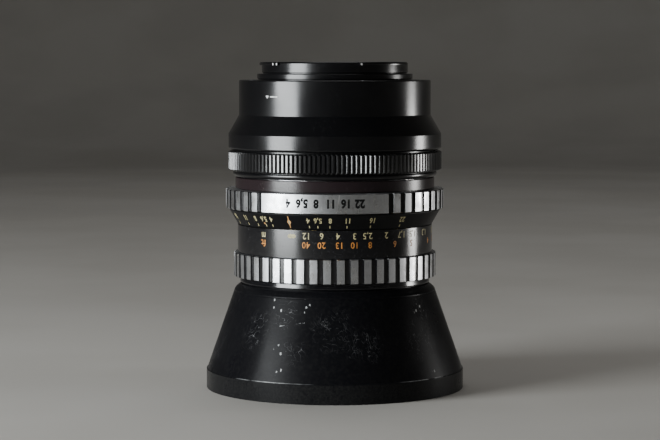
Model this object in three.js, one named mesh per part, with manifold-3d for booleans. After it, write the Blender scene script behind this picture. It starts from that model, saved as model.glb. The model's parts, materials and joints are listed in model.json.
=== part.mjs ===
// A wide prime lens for medium format, standing on its front rim, with a breech-lock to
// bayonet mount adapter locked on its rear. Millimetres. The optical axis is Z, z = 0 is the
// plane of the front rim, and +Z points to the camera side. A bearing is an angle about the
// axis in degrees from the index mark, which faces -Y, growing towards +X.
import * as THREE from 'three';
import { mergeVertices } from 'three/addons/utils/BufferGeometryUtils.js';
import Module from 'manifold-3d';

const wasm = await Module();
wasm.setup();

// ---- driving dimensions ----
const SHELL_SIDES = 40;            // sides of the outer rings
const RING_SIDES = 24;             // sides of the hidden rings
const GLASS_SIDES = 20;            // sides of the lens elements
const SMALL_SIDES = 8;             // sides of pins and screws

const FOCAL_LENGTH = 50;
const RIM_R = 46.75;               // front rim, outside an 86 mm filter thread
const FILTER_R = 43;
const RIM_TOP = 7.08;
const CONE_TOP_R = 36.4;
const CONE_TOP = 35.8;
const SHOULDER_R = 33.8;           // top edge of the front barrel
const SHOULDER_TOP = 38.4;

const NECK_R = 34;                 // neck that slides into the focusing ring
const GRIP_R = 36.65;              // focusing grip
const GRIP_BOTTOM = 40.61;
const GRIP_TOP = 49.32;
const SCALE_R = 35.27;             // distance scale sleeve
const SCALE_TOP = 59.42;
const DEPTH_BOTTOM = 59.72;        // depth of field cone
const DEPTH_TOP = 65;
const STOP_RING_R = 39.45;         // aperture ring
const STOP_RING_BOTTOM = 65.35;
const STOP_RING_TOP = 72.31;
const REAR_R = 36.07;              // fixed rear housing
const REAR_TOP = 76.5;

const LOCK_R = 38.7;               // knurled lock ring of the adapter
const LOCK_BOTTOM = 79.05;
const LOCK_TOP = 85.91;
const LENS_FLANGE = 81.3;          // plane where lens and adapter meet
const BAND_R = 38.52;              // adapter shell
const BAND_TOP = 92.1;
const TUBE_R = 34.7;
const TUBE_BOTTOM = 98.85;
const CAMERA_FLANGE = 111.4;       // plane where adapter and camera meet
const STEP_R = 28.11;
const STEP_TOP = 113.64;
const BAYONET_R = 26.4;
const TAB_R = 27.26;
const TAB_BOTTOM = 116.7;
const TAB_FROM = 44;               // first bayonet tab, from this bearing over this turn
const TAB_TURN = 53.5;
const BAYONET_TOP = 117.87;
const THROAT_R = 24.8;

const GRIP_FLUTES = 48;
const STOP_FLUTES = 50;            // pitches on the aperture ring, nine of them left plain
const PLAIN_FLUTES = 9;
const LOCK_TEETH = 144;
const GROOVE_DEPTH = 0.6;

const NEAREST = 500;               // nearest distance in focus
const STOP_TURN = 37;              // turn of the aperture ring from f/4 to f/22
const HELIX_LEAD = 8.39;           // travel of the focusing helicoid in one turn

const IRIS_OPEN_R = 9.7;           // inner edge of the open blades
const IRIS_SHUT_R = 1.76;          // opening at f/22
const BLADE_COUNT = 6;
const BLADE_WIDTH = 8;
const BLADE_PIVOT_R = 18.8;
const BLADE_DRIVE_R = 21.5;
const BLADE_DRIVE_LAG = 12;        // bearing of the drive pin behind the pivot
const BLADE_SHEET = 0.2;
const BLADE_LAYER = 0.3;
const IRIS_PLATE_TOP = 64.2;
const ROTOR_BOTTOM = 66.4;
const ROTOR_TOP = 67.9;
const DRIVE_PIN_Z = 67.15;
const DRIVE_BEARING = 180 + STOP_TURN / 2;

const GAP = 0.3;                   // running clearance

const extension = (NEAREST - Math.sqrt(NEAREST ** 2 - 4 * FOCAL_LENGTH * NEAREST)) / 2
  - FOCAL_LENGTH;
const focusTurn = extension / HELIX_LEAD * 360;

// ---- shape helpers ----
function at(radius, bearing) {
  const angle = THREE.MathUtils.degToRad(bearing - 90);
  return new THREE.Vector2(radius * Math.cos(angle), radius * Math.sin(angle));
}

function lathe(profile, sides) {
  const points = profile.map(([radius, z]) => new THREE.Vector2(radius, z));
  points.push(points[0].clone());
  return new THREE.LatheGeometry(points, sides).rotateX(Math.PI / 2);
}

function ring(inner, outer, bottom, top, sides = RING_SIDES) {
  return lathe([[inner, bottom], [outer, bottom], [outer, top], [inner, top]], sides);
}

function slab(outline, bottom, top, holes = []) {
  const shape = new THREE.Shape(outline);
  for (const hole of holes) {
    shape.holes.push(new THREE.Path(hole));
  }
  const geometry = new THREE.ExtrudeGeometry(shape, { depth: top - bottom, bevelEnabled: false });
  return geometry.translate(0, 0, bottom);
}

function circle(radius, sides, centre = new THREE.Vector2()) {
  const points = [];
  for (let i = 0; i < sides; i += 1) {
    points.push(at(radius, 360 * i / sides).add(centre));
  }
  return points;
}

function arc(radius, from, to, steps) {
  const points = [];
  for (let i = 0; i <= steps; i += 1) {
    points.push(at(radius, from + (to - from) * i / steps));
  }
  return points;
}

function sector(inner, outer, from, to, bottom, top, steps = 5) {
  const outline = [...arc(outer, from, to, steps), ...arc(inner, to, from, steps)];
  return slab(outline, bottom, top);
}

function pin(radius, bearing, ringRadius, bottom, top, sides = SMALL_SIDES) {
  return slab(circle(radius, sides, at(ringRadius, bearing)), bottom, top);
}

function radialPin(radius, bearing, z, from, to) {
  const geometry = new THREE.CylinderGeometry(radius, radius, to - from, SMALL_SIDES);
  geometry.translate(0, -(from + to) / 2, 0);
  geometry.rotateZ(THREE.MathUtils.degToRad(bearing));
  return geometry.translate(0, 0, z);
}

function spring(coilRadius, wireRadius, turns, centre, bottom, top) {
  class Helix extends THREE.Curve {
    getPoint(t) {
      const angle = t * turns * 2 * Math.PI;
      const z = bottom + wireRadius + t * (top - bottom - 2 * wireRadius);
      return new THREE.Vector3(
        centre.x + coilRadius * Math.cos(angle),
        centre.y + coilRadius * Math.sin(angle),
        z,
      );
    }
  }
  const section = new THREE.Shape(circle(wireRadius, 4));
  const options = { steps: turns * 8, extrudePath: new Helix(), bevelEnabled: false };
  return new THREE.ExtrudeGeometry(section, options);
}

// ---- booleans ----
function solid(geometry) {
  const bare = geometry.clone();
  bare.deleteAttribute('normal');
  bare.deleteAttribute('uv');
  const merged = mergeVertices(bare, 1e-4);
  return new wasm.Manifold(new wasm.Mesh({
    numProp: 3,
    vertProperties: new Float32Array(merged.attributes.position.array),
    triVerts: new Uint32Array(merged.index.array),
  }));
}

function geometryOf(body) {
  const mesh = body.getMesh();
  const geometry = new THREE.BufferGeometry();
  geometry.setAttribute('position', new THREE.BufferAttribute(mesh.vertProperties, 3));
  geometry.setIndex(new THREE.BufferAttribute(mesh.triVerts, 1));
  geometry.computeVertexNormals();
  return geometry;
}

function cut(geometry, tools) {
  const body = tools.reduce((rest, tool) => rest.subtract(solid(tool)), solid(geometry));
  return geometryOf(body);
}

function join(geometries) {
  const [first, ...others] = geometries.map(solid);
  return geometryOf(others.reduce((sum, other) => sum.add(other), first));
}

// ---- materials and the assembly ----
const lens = new THREE.Group();
const FINISHES = {
  blackGloss: [0x0c0c0d, 0.28, 0.4],
  blackSatin: [0x141415, 0.45, 0.4],
  brownAnodised: [0x2a2124, 0.45, 0.6],
  brushedSilver: [0xb9bcbe, 0.35, 1],
  steel: [0x8d8f92, 0.35, 1],
  brass: [0xa8874a, 0.4, 1],
  bladeSteel: [0x2b2c2e, 0.4, 0.9],
  glass: [0x5b6f7a, 0.03, 0],
};

function add(name, geometry, finish) {
  const [color, roughness, metalness] = FINISHES[finish];
  const material = new THREE.MeshStandardMaterial({ color, roughness, metalness });
  const mesh = new THREE.Mesh(geometry, material);
  mesh.name = name;
  lens.add(mesh);
}

// ---- front barrel ----
function frontBarrel() {
  const wall = 2.6;
  const seat = 10.4;
  add('front_cone_barrel', lathe([
    [FILTER_R, 0],
    [RIM_R, 0],
    [RIM_R, RIM_TOP],
    [CONE_TOP_R, CONE_TOP],
    [CONE_TOP_R - 0.3, CONE_TOP + 0.9],
    [SHOULDER_R, SHOULDER_TOP],
    [31.9, SHOULDER_TOP],
    [31.9, CONE_TOP + 0.1],
    [CONE_TOP_R - wall + 0.8, CONE_TOP + 0.1],
    [41, seat],
    [FILTER_R, seat],
  ], SHELL_SIDES), 'blackGloss');
  add('front_name_ring', lathe([
    [42.8, 8.6],
    [42.8, 10.3],
    [40.6, 10.3],
    [33.6, 14.9],
    [31.3, 14.9],
    [31.3, 13.4],
  ], SHELL_SIDES), 'blackSatin');
  add('front_retaining_ring', ring(31.3, 32.6, 15.1, 16.3), 'blackSatin');
  add('front_neck_ring', ring(33.2, NECK_R, SHOULDER_TOP + 0.05, 48.6, SHELL_SIDES), 'blackGloss');
}

// ---- optics: a retrofocus layout of seven elements ----
function element(name, vertex, thickness, front, rear, edge, rearEdge = edge) {
  const sag = (radius, r) => radius - Math.sign(radius) * Math.sqrt(radius ** 2 - r ** 2);
  const steps = 3;
  const profile = [];
  for (let i = 0; i <= steps; i += 1) {
    const r = edge * i / steps;
    profile.push([r, vertex + sag(front, r)]);
  }
  const back = vertex + thickness;
  if (rearEdge < edge) {
    profile.push([edge, back + sag(rear, rearEdge)]);
  }
  for (let i = steps; i >= 0; i -= 1) {
    const r = rearEdge * i / steps;
    profile.push([r, back + sag(rear, r)]);
  }
  add(name, lathe(profile, GLASS_SIDES), 'glass');
}

function frontGroup() {
  element('lens_element_1', 9, 3, 70, 36, 32.4, 24);
  element('lens_element_2', 25.5, 2.2, 90, 28, 22, 18);
  element('lens_element_3', 36.5, 9, 60, -60, 22);
  element('lens_element_4', 48, 6.5, 80, -150, 22);
  add('front_group_cell', lathe([
    [32.8, 16.5],
    [34.2, 16.5],
    [34.2, 23],
    [25.5, 23],
    [25.5, 56],
    [22.3, 56],
    [22.3, 27.6],
    [20.5, 27.6],
    [20.5, 23],
    [24.5, 21.4],
    [32.8, 21.4],
  ], RING_SIDES), 'blackSatin');
  add('spacer_1', ring(20, 22, 34.4, 39.7), 'blackSatin');
  add('spacer_2', ring(20, 22, 42.3, 50.3), 'blackSatin');
  add('front_cell_retainer', ring(20, 22, 53.4, 55.4), 'blackSatin');
}

function rearGroup() {
  element('lens_element_5', 72.6, 1.8, -60, 45, 16);
  element('lens_element_6', 74.45, 6.75, 45, -48, 16);
  element('lens_element_7', 81.9, 5.1, 90, -60, 16);
  add('rear_group_cell', lathe([
    [16.3, 69.2],
    [28, 69.2],
    [28, 70.3],
    [19.5, 70.3],
    [19.5, 88.2],
    [16.3, 88.2],
  ], RING_SIDES), 'blackSatin');
  add('spacer_3', ring(14, 16, 79.3, 82.8), 'blackSatin');
  add('rear_retaining_ring', ring(14.2, 16, 85.6, 86.8), 'blackSatin');
}

// ---- focusing barrel that carries the optics, held from turning by a key ----
const KEY_R = 30.4;                // middle of the key
const KEY_WIDTH = 5;
const KEY_BOTTOM = 52;
const KEY_TOP = 56;

function innerBarrel() {
  const slotBottom = KEY_BOTTOM - 1;
  const slotLength = 14;             // the key's height, the focusing travel and some room
  const keySlot = new THREE.BoxGeometry(6, KEY_WIDTH + 2 * GAP, slotLength);
  keySlot.translate(KEY_R, 0, slotBottom + slotLength / 2);
  const halfPin = 2.5;
  const pinSlot = sector(26, 33, DRIVE_BEARING - STOP_TURN - halfPin, DRIVE_BEARING + halfPin,
    DRIVE_PIN_Z - 1.1, DRIVE_PIN_Z + 1.1);
  add('inner_barrel', cut(ring(28.2, 31.6, 36.2, 70.3), [keySlot, pinSlot]), 'brass');
  const key = new THREE.BoxGeometry(2.2, KEY_WIDTH, KEY_TOP - KEY_BOTTOM);
  key.translate(KEY_R, 0, (KEY_BOTTOM + KEY_TOP) / 2);
  add('helicoid_key', key, 'steel');
}

// ---- focusing ring ----
function flutedOutline(radius, depth, bearings, land, groove) {
  const slope = 0.35;
  const outline = [];
  for (const bearing of bearings) {
    outline.push(at(radius, bearing - land / 2));
    outline.push(at(radius, bearing + land / 2));
    outline.push(at(radius - depth, bearing + land / 2 + slope));
    outline.push(at(radius - depth, bearing + land / 2 + groove - slope));
  }
  return outline;
}

function focusRing() {
  const pitch = 360 / GRIP_FLUTES;
  const land = 4.1;
  const bearings = Array.from({ length: GRIP_FLUTES }, (_, i) => i * pitch - 1);
  const outline = flutedOutline(GRIP_R, GROOVE_DEPTH, bearings, land, pitch - land);
  const bore = circle(35.1, SHELL_SIDES);
  const screwBearings = [0, 1, 2].map((i) => -1 + pitch * (13.5 + 16 * i));
  const screwZ = 45;
  const holes = screwBearings.map((bearing) => radialPin(1, bearing, screwZ, 34.5, 37));
  add('focus_grip_ring', cut(slab(outline, GRIP_BOTTOM, GRIP_TOP, [bore]), holes), 'brushedSilver');
  screwBearings.forEach((bearing, i) => {
    add(`focus_grub_screw_${i + 1}`, radialPin(0.75, bearing, screwZ, 35.1, 35.8), 'steel');
  });
  add('distance_scale_sleeve', lathe([
    [34.4, 41],
    [34.95, 41],
    [34.95, GRIP_TOP + 0.1],
    [SCALE_R, GRIP_TOP + 0.1],
    [SCALE_R, SCALE_TOP],
    [34.4, SCALE_TOP],
  ], SHELL_SIDES), 'blackGloss');
  add('focus_helicoid_nut', ring(33.1, 34.2, 50.2, 58.6, SHELL_SIDES), 'brass');
  const pinBearing = 90;
  add('focus_stop_pin', pin(0.6, pinBearing, 33.65, 58.6, 59.5, 8), 'steel');
  const pinHalf = 1.6;
  const blockTurn = 360 - focusTurn - 2 * pinHalf;
  add('focus_stop_block', sector(33.1, 34.1, pinBearing + pinHalf, pinBearing + pinHalf + blockTurn,
    58.9, 60.1, 8), 'steel');
}

// ---- fixed base of the lens ----
const FORK_FROM = DRIVE_BEARING - STOP_TURN - 12;   // room that the aperture fork sweeps
const FORK_TO = DRIVE_BEARING + 12;
const DETENT_BEARING = 270;        // click stop of the aperture ring
const DETENT_R = 33.4;

function base() {
  const tunnel = sector(30, 33.05, FORK_FROM + 8, FORK_TO - 8, 59.6, 68.4);
  add('base_barrel', cut(ring(32, 32.8, 49, 72.3), [tunnel]), 'brass');
  add('focus_retaining_ring', ring(32.95, 34.1, 49, 49.9), 'steel');
  const body = lathe([
    [33.05, 60.2],
    [34.6, 60.2],
    [34.6, DEPTH_BOTTOM],
    [35.3, DEPTH_BOTTOM],
    [37.1, 62.8],
    [38.2, 64.7],
    [38.2, DEPTH_TOP],
    [33.05, DEPTH_TOP],
  ], SHELL_SIDES);
  const relief = sector(31, 34.9, FORK_FROM, FORK_TO, 59, 66);
  add('depth_of_field_ring', cut(body, [relief]), 'blackGloss');
  const detent = pin(1.1, DETENT_BEARING, DETENT_R, 71, 75.4);
  add('rear_housing', cut(lathe([
    [33.1, 69.9],
    [34.75, 69.9],
    [34.75, STOP_RING_TOP + GAP],
    [REAR_R, STOP_RING_TOP + GAP],
    [REAR_R, REAR_TOP],
    [30.2, REAR_TOP],
    [30.2, 72.6],
    [33.1, 72.6],
  ], SHELL_SIDES), [detent]), 'brownAnodised');
}

// ---- aperture ring with its fork and click stop ----
function apertureRing() {
  const pitch = 360 / STOP_FLUTES;
  const groove = 3.3;
  const land = pitch - groove;
  const firstGroove = 55.6;
  const count = STOP_FLUTES - PLAIN_FLUTES;
  const bearings = Array.from({ length: count }, (_, i) => firstGroove + i * pitch - pitch / 2);
  const outline = flutedOutline(STOP_RING_R, GROOVE_DEPTH, bearings, land, groove);
  const lastGroove = firstGroove + (count - 1) * pitch;
  outline.push(...arc(STOP_RING_R, lastGroove + groove / 2, firstGroove + 360 - groove / 2 - land,
    PLAIN_FLUTES));
  const disc = slab(outline, STOP_RING_BOTTOM, STOP_RING_TOP, [circle(35, SHELL_SIDES)]);
  const recess = ring(30, 36.8, STOP_RING_BOTTOM - 1, 70, SHELL_SIDES);
  add('aperture_ring', cut(disc, [recess]), 'brushedSilver');
  const plate = sector(33.4, 34.3, DRIVE_BEARING - 4, DRIVE_BEARING + 4, 60.15, 69.6, 2);
  const lug = sector(34.2, 36.6, DRIVE_BEARING - 4, DRIVE_BEARING + 4, 67.6, 69.6, 2);
  const slot = sector(32, 35, DRIVE_BEARING - 1.7, DRIVE_BEARING + 1.7, 59, 68.4, 2);
  add('aperture_fork', cut(join([plate, lug]), [slot]), 'steel');
  const ballZ = 73.2;
  const centre = at(DETENT_R, DETENT_BEARING);
  const ball = new THREE.IcosahedronGeometry(0.75, 1).translate(centre.x, centre.y, ballZ);
  add('detent_ball', ball, 'steel');
  add('detent_spring', spring(0.6, 0.12, 3, centre, 74, 75.3), 'steel');
}

// ---- iris ----
const bladeSwing = 2 * THREE.MathUtils.radToDeg(
  Math.asin((IRIS_OPEN_R - IRIS_SHUT_R) / 2 / BLADE_PIVOT_R));

function drivePoint(share) {
  const pivot = at(BLADE_PIVOT_R, 0);
  const drive = at(BLADE_DRIVE_R, -BLADE_DRIVE_LAG);
  const swing = THREE.MathUtils.degToRad(bladeSwing * share);
  const turn = THREE.MathUtils.degToRad(STOP_TURN * share);
  return drive.rotateAround(pivot, swing).rotateAround(new THREE.Vector2(), turn);
}

function slotOutline(bearing, halfWidth) {
  const steps = 4;
  const path = Array.from({ length: steps + 1 }, (_, i) => drivePoint(i / steps));
  const outline = [];
  for (const side of [1, -1]) {
    const points = side > 0 ? path : [...path].reverse();
    points.forEach((point, i) => {
      const before = points[Math.max(i - 1, 0)];
      const after = points[Math.min(i + 1, steps)];
      const along = after.clone().sub(before).normalize();
      const across = new THREE.Vector2(along.y, -along.x).multiplyScalar(halfWidth);
      const past = along.multiplyScalar(i === 0 ? -halfWidth : i === steps ? halfWidth : 0);
      outline.push(point.clone().add(across).add(past));
    });
  }
  const turn = THREE.MathUtils.degToRad(bearing);
  return outline.map((point) => point.rotateAround(new THREE.Vector2(), turn));
}

function blade(name, bearing, layer) {
  const bottom = IRIS_PLATE_TOP + 0.2 + layer * BLADE_LAYER;
  const top = bottom + BLADE_SHEET;
  const outer = IRIS_OPEN_R + BLADE_WIDTH;
  const leaf = sector(IRIS_OPEN_R, outer, bearing - 3, bearing + 100, bottom, top, 7);
  const drive = bearing - BLADE_DRIVE_LAG;
  const lug = slab([
    at(outer - 1, bearing + 5),
    at(outer - 1, bearing - 2),
    at(BLADE_DRIVE_R - 1.6, drive - 2),
    at(BLADE_DRIVE_R, drive - 4.5),
    at(BLADE_DRIVE_R + 1.6, drive),
    at(BLADE_DRIVE_R + 0.6, drive + 5),
    at(BLADE_PIVOT_R + 1.8, bearing),
    at(BLADE_PIVOT_R + 1, bearing + 4.5),
  ].reverse(), bottom, top);
  const pivot = pin(0.8, bearing, BLADE_PIVOT_R, IRIS_PLATE_TOP - 1, top, 8);
  const follower = pin(0.8, drive, BLADE_DRIVE_R, bottom, ROTOR_TOP - 0.3, 8);
  add(name, join([leaf, lug, pivot, follower]), 'bladeSteel');
}

function iris() {
  const pivots = [];
  const slots = [];
  for (let i = 0; i < BLADE_COUNT; i += 1) {
    const bearing = i * 360 / BLADE_COUNT;
    pivots.push(circle(1.15, SMALL_SIDES, at(BLADE_PIVOT_R, bearing)));
    slots.push(slotOutline(bearing, 1.15));
    blade(`iris_blade_${i + 1}`, bearing, i);
  }
  const opening = circle(IRIS_OPEN_R + 0.2, RING_SIDES);
  add('iris_base_plate', slab(circle(28, RING_SIDES), IRIS_PLATE_TOP - 1.4, IRIS_PLATE_TOP,
    [opening, ...pivots]), 'blackSatin');
  const plate = slab(circle(26.4, RING_SIDES), ROTOR_BOTTOM, ROTOR_TOP,
    [circle(18.3, RING_SIDES), ...slots]);
  const arm = radialPin(0.7, DRIVE_BEARING, DRIVE_PIN_Z, 25.8, 34.1);
  add('iris_rotor', join([plate, arm]), 'brass');
  add('iris_retaining_ring', ring(19, 28, ROTOR_TOP + 0.25, 68.9), 'blackSatin');
}

// ---- rear mount of the lens ----
const STOP_PIN_BEARING = 240;
const STOP_PIN_R = 28.6;
const LOCATING_BEARING = 90;
const LOCATING_R = 32.2;

function rearMount() {
  const hub = ring(30.2, 34.2, REAR_TOP, LENS_FLANGE, SHELL_SIDES);
  const web = ring(26.7, 30.4, 76.6, 78.4, SHELL_SIDES);
  const tabs = [];
  for (let i = 0; i < 3; i += 1) {
    tabs.push(sector(33.8, 36, 120 * i - 20, 120 * i + 20, 79.4, LENS_FLANGE));
  }
  const stopDownHole = pin(1.2, STOP_PIN_BEARING, STOP_PIN_R, 76, 79);
  const locatingHole = pin(1.15, LOCATING_BEARING, LOCATING_R, 79, 82);
  const holes = [stopDownHole, locatingHole];
  add('rear_breech_ring', cut(join([hub, web, ...tabs]), holes), 'steel');
  add('mount_locating_pin', pin(0.85, LOCATING_BEARING, LOCATING_R, 79.1, 83.2), 'steel');
  const centre = at(STOP_PIN_R, STOP_PIN_BEARING);
  const stem = slab(circle(0.9, SMALL_SIDES, centre), 73.9, 84.4);
  const collar = slab(circle(1.3, SMALL_SIDES, centre), 75.3, 76);
  add('stop_down_pin', join([stem, collar]), 'steel');
  add('stop_down_spring', spring(1.15, 0.15, 4, centre, 71.8, 75.2), 'steel');
  add('pin_carrier_plate', ring(26.7, 31.85, 70.8, 71.7), 'blackSatin');
}

// ---- mount adapter ----
function lockRing() {
  const outline = [];
  const pitch = 360 / LOCK_TEETH;
  const toothHeight = 0.55;
  for (let i = 0; i < LOCK_TEETH; i += 1) {
    outline.push(at(LOCK_R, i * pitch));
    outline.push(at(LOCK_R - toothHeight, (i + 0.5) * pitch));
  }
  add('lock_ring', slab(outline, LOCK_BOTTOM, LOCK_TOP, [circle(36.35, SHELL_SIDES)]), 'blackSatin');
  const lip = lathe([
    [34.65, REAR_TOP + 0.2],
    [36.3, REAR_TOP + 0.2],
    [36.9, REAR_TOP + 0.8],
    [36.9, LOCK_BOTTOM],
    [34.65, LOCK_BOTTOM],
  ], SHELL_SIDES);
  const passages = [];
  for (let i = 0; i < 3; i += 1) {
    passages.push(sector(33, 36.2, 120 * i + 37, 120 * i + 83, 76, 80));
  }
  add('lock_ring_lip', cut(lip, passages), 'blackSatin');
}

function adapter() {
  const shell = lathe([
    [30.2, LENS_FLANGE + 0.05],
    [36, LENS_FLANGE + 0.05],
    [36, 86.5],
    [38, 86.5],
    [BAND_R, 87.1],
    [BAND_R, BAND_TOP],
    [TUBE_R, TUBE_BOTTOM],
    [TUBE_R, CAMERA_FLANGE],
    [33.4, CAMERA_FLANGE],
    [33.4, 109.9],
    [26.8, 109.9],
    [26.8, 108.4],
    [30.2, 108.4],
  ], SHELL_SIDES);
  const socket = pin(1.15, LOCATING_BEARING, LOCATING_R, 80, 83.8);
  add('adapter_body', cut(shell, [socket]), 'blackSatin');
  add('adapter_baffle_sleeve', lathe([
    [28.9, 90],
    [29.8, 90],
    [29.8, 108.2],
    [28.9, 108.2],
    [28.3, 104],
    [28.9, 99],
    [28.3, 94.5],
  ], RING_SIDES), 'blackSatin');
}

const BAYONET_SCREWS = 4;
const BAYONET_SCREW_R = 31;

function cameraBayonet() {
  const turned = lathe([
    [THROAT_R, 110],
    [33.2, 110],
    [33.2, CAMERA_FLANGE],
    [STEP_R, CAMERA_FLANGE],
    [STEP_R, STEP_TOP],
    [BAYONET_R, STEP_TOP],
    [BAYONET_R, BAYONET_TOP],
    [THROAT_R, BAYONET_TOP],
  ], SHELL_SIDES);
  const tabs = [];
  for (let i = 0; i < 3; i += 1) {
    const from = TAB_FROM + 120 * i;
    tabs.push(sector(25.6, TAB_R, from, from + TAB_TURN, TAB_BOTTOM, BAYONET_TOP));
  }
  const lockNotch = pin(1, 200, 30.6, 109, 112);   // the camera's lock pin drops in here
  const holes = [lockNotch];
  for (let i = 0; i < BAYONET_SCREWS; i += 1) {
    const bearing = 45 + 360 * i / BAYONET_SCREWS;
    holes.push(pin(1.6, bearing, BAYONET_SCREW_R, 109, 112));
    add(`bayonet_screw_${i + 1}`, pin(1.35, bearing, BAYONET_SCREW_R, 110, 111.25), 'steel');
  }
  add('camera_bayonet_ring', cut(join([turned, ...tabs]), holes), 'blackSatin');
}

frontBarrel();
frontGroup();
rearGroup();
innerBarrel();
focusRing();
base();
apertureRing();
iris();
rearMount();
lockRing();
adapter();
cameraBayonet();

export default lens;
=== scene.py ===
import json
import math

import bmesh
import bpy
from mathutils import Matrix, Vector


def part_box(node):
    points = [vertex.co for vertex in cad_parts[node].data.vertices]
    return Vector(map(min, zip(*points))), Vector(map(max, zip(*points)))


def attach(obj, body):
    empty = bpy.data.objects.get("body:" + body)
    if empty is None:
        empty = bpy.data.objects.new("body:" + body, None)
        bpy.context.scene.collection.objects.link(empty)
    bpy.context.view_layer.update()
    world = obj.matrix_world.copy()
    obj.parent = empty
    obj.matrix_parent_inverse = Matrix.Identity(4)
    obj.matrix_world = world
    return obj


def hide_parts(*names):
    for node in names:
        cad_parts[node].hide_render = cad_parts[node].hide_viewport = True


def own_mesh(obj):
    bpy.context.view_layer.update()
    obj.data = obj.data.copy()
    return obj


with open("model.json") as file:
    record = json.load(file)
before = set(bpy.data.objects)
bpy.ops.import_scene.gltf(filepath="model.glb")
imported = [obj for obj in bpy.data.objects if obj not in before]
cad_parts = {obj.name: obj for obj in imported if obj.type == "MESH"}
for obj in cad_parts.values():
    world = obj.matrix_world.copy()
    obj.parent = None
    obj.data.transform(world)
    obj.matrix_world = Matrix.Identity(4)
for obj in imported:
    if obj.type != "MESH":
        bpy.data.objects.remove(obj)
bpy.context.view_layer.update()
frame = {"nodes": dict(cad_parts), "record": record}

# ---------------------------------------------------------------- camera
# The lens stands on its front rim and is seen a little from above, with the index mark
# turned to the left. Bearings grow from the index at -Y towards +X.
VIEW_BEARING = math.radians(25.7)
VIEW_TURN = math.radians(0.13)
VIEW_PITCH = math.radians(4.25)
VIEW_DISTANCE = 0.7761
VIEW_HEIGHT = 0.1182

camera_data = bpy.data.cameras.new("camera")
camera_data.lens = 116.7
camera_data.sensor_width = 36
camera_data.clip_start = 0.01
camera = bpy.data.objects.new("camera", camera_data)
camera.location = (
    VIEW_DISTANCE * math.sin(VIEW_BEARING), -VIEW_DISTANCE * math.cos(VIEW_BEARING), VIEW_HEIGHT)
camera.rotation_euler = (math.pi / 2 - VIEW_PITCH, 0, VIEW_BEARING + VIEW_TURN)
bpy.context.scene.collection.objects.link(camera)
bpy.context.scene.camera = camera


# ---------------------------------------------------------------- floor and studio light
# A wide pale floor that curves up into a wall, a broad soft window of light at the left front,
# a small low one at the right, a broad soft one overhead, and a dim grey room round it all.
def add_node(tree, kind, settings=None, **inputs):
    node = tree.nodes.new(kind)
    for setting, value in (settings or {}).items():
        setattr(node, setting, value)
    for socket, value in inputs.items():
        target = node.inputs[int(socket[1:])] if socket[1:].isdigit() else (
            node.inputs[socket.replace("_", " ")])
        if isinstance(value, bpy.types.NodeSocket):
            tree.links.new(value, target)
        else:
            target.default_value = value
    return node


def new_material(name, colour, roughness, metallic=0.0, **more):
    material = bpy.data.materials.new(name)
    material.use_nodes = True
    tree = material.node_tree
    shader = tree.nodes["Principled BSDF"]
    shader.inputs["Base Color"].default_value = (*colour, 1)
    shader.inputs["Roughness"].default_value = roughness
    shader.inputs["Metallic"].default_value = metallic
    for socket, value in more.items():
        shader.inputs[socket.replace("_", " ")].default_value = value
    return material, tree, shader


def spots(tree, place, scale, detail=3.0, low=0.4, high=0.6):
    noise = add_node(tree, "ShaderNodeTexNoise", Vector=place, Scale=scale, Detail=detail)
    ramp = add_node(tree, "ShaderNodeMapRange", Value=noise.outputs[0], From_Min=low, From_Max=high)
    return ramp.outputs[0]


def blend_colours(tree, share, first, second):
    mix = add_node(tree, "ShaderNodeMix", {"data_type": "RGBA"}, _0=share)
    for index, colour in ((6, first), (7, second)):
        if isinstance(colour, bpy.types.NodeSocket):
            tree.links.new(colour, mix.inputs[index])
        else:
            mix.inputs[index].default_value = (*colour, 1)
    return mix.outputs[2]


floor_mesh = bmesh.new()
cove = [(0.001, 0.0), (1.7, 0.0), (1.9, 0.027), (2.09, 0.11), (2.24, 0.23), (2.34, 0.4), (2.37, 0.6),
        (2.37, 2.6)]
cove_verts = [floor_mesh.verts.new((reach, 0, height)) for reach, height in cove]
cove_edges = [floor_mesh.edges.new(pair) for pair in zip(cove_verts, cove_verts[1:])]
bmesh.ops.spin(
    floor_mesh, geom=cove_verts + cove_edges, cent=(0, 0, 0), axis=(0, 0, 1), dvec=(0, 0, 0),
    angle=2 * math.pi, steps=96, use_merge=True, use_duplicate=False)
bmesh.ops.remove_doubles(floor_mesh, verts=floor_mesh.verts[:], dist=0.002)
bmesh.ops.recalc_face_normals(floor_mesh, faces=floor_mesh.faces[:])
floor_data = bpy.data.meshes.new("floor")
floor_mesh.to_mesh(floor_data)
floor_mesh.free()
floor_data.shade_smooth()
floor = bpy.data.objects.new("floor", floor_data)
bpy.context.scene.collection.objects.link(floor)
floor_paint, tree, shader = new_material("floor_paint", (0.46, 0.44, 0.41), 0.8)
place = add_node(tree, "ShaderNodeTexCoord").outputs["Object"]
tone = blend_colours(tree, spots(tree, place, 6.0), (0.44, 0.42, 0.385), (0.48, 0.46, 0.425))
tree.links.new(tone, shader.inputs["Base Color"])
floor_data.materials.append(floor_paint)


def add_window(name, bearing, distance, height, size, watts, colour=(1, 1, 1)):
    light = bpy.data.lights.new(name, "AREA")
    light.shape = "RECTANGLE"
    light.size, light.size_y = size
    light.energy = watts
    light.color = colour
    lamp = bpy.data.objects.new(name, light)
    angle = math.radians(bearing)
    lamp.location = (distance * math.sin(angle), -distance * math.cos(angle), height)
    aim = Vector((0, 0, min(height, 0.07))) - Vector(lamp.location)
    lamp.rotation_euler = aim.to_track_quat("-Z", "Y").to_euler()
    bpy.context.scene.collection.objects.link(lamp)


add_window("window_left", -33, 0.75, 0.17, (0.38, 0.34), 11, (0.94, 0.98, 1.0))
add_window("window_right", 127, 0.50, 0.052, (0.10, 0.10), 0.82, (1.0, 0.99, 0.97))
add_window("overhead", 206, 0.5, 1.5, (0.9, 0.9), 5)

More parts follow.
